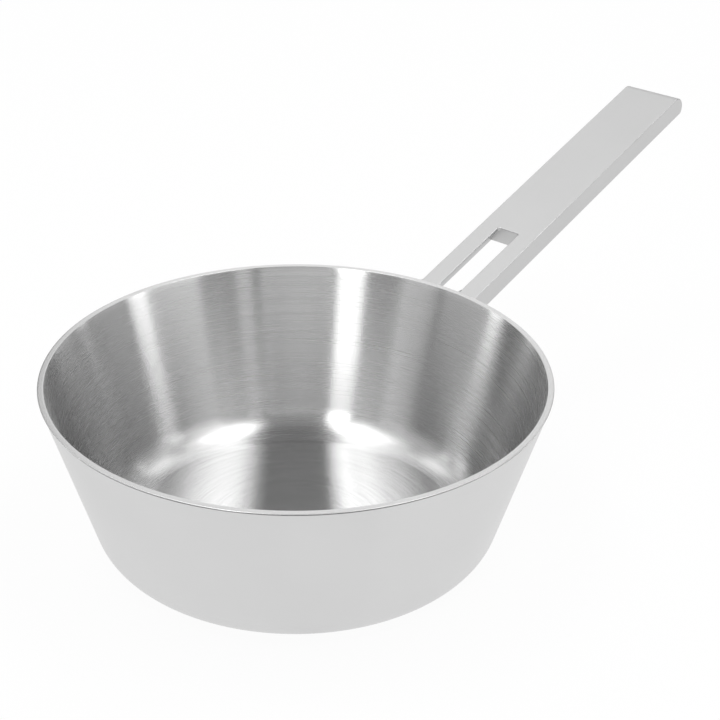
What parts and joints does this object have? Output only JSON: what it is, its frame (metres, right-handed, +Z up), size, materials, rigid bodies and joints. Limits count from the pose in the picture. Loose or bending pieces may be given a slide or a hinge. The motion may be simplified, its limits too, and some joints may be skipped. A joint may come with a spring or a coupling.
{
  "type": "saucier pan",
  "caption": "Conical saucier pan of clad steel with a flat base, a slightly flared closed rim, and a rising flat bar handle whose two legs straddle an open slot at the wall.",
  "frame": {"origin": "centre of the base's flat underside", "axes": "+Z up out of the bowl, +X out along the handle, +Y completes the right-handed frame"},
  "size_m": [0.4533, 0.246, 0.1417],
  "materials": {
    "cooking_steel": "fine brushing round the pan's axis",
    "bond_aluminium": "rolled",
    "core_aluminium": "rolled",
    "carrier_steel": "rolled",
    "magnetic_steel": "rolled",
    "outer_steel": "bright satin",
    "handle_steel": "bead-blasted satin",
    "weld_steel": "ground flush, satin"
  },
  "bodies": {
    "root": {"cooking_surface_lining": "cooking_steel", "inner_bond_ply": "bond_aluminium", "aluminium_core": "core_aluminium", "outer_bond_ply": "bond_aluminium", "carrier_steel_ply": "carrier_steel", "magnetic_steel_ply": "magnetic_steel", "outer_skin": "outer_steel", "handle_shell": "handle_steel", "handle_underside_plate": "handle_steel", "left_leg_weld": "weld_steel", "right_leg_weld": "weld_steel"}
  },
  "joints": []
}
